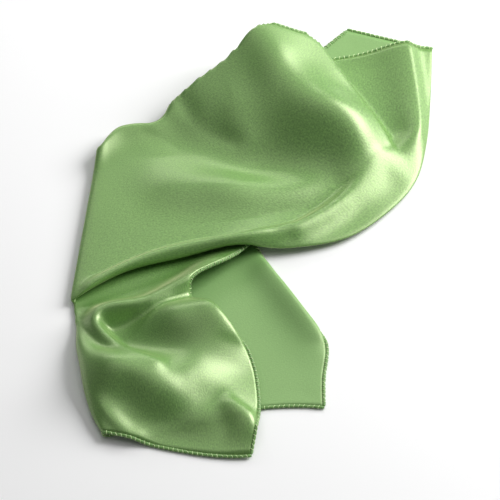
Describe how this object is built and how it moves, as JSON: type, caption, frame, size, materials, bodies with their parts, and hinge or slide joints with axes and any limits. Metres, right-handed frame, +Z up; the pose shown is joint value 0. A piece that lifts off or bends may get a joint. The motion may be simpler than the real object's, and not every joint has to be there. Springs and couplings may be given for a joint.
{
  "type": "satin scarf",
  "caption": "Green satin scarf with rolled, overcast hems, lying loosely folded lengthwise and back under itself so that both ends show.",
  "frame": {"origin": "centre of the outline in plan, on the surface the scarf lies on", "axes": "+Z up; +X to the viewer's right; +Y away from the viewer, from the tails towards the far end"},
  "size_m": [0.3276, 0.5079, 0.0589],
  "materials": {
    "satin": "satin, glossy outer face",
    "hem": "rolled satin with overcast thread"
  },
  "bodies": {
    "root": {"satin_panel": "satin", "hem_tail_end": "hem", "hem_far_end": "hem", "hem_long_a": "hem", "hem_long_b": "hem"}
  },
  "joints": []
}
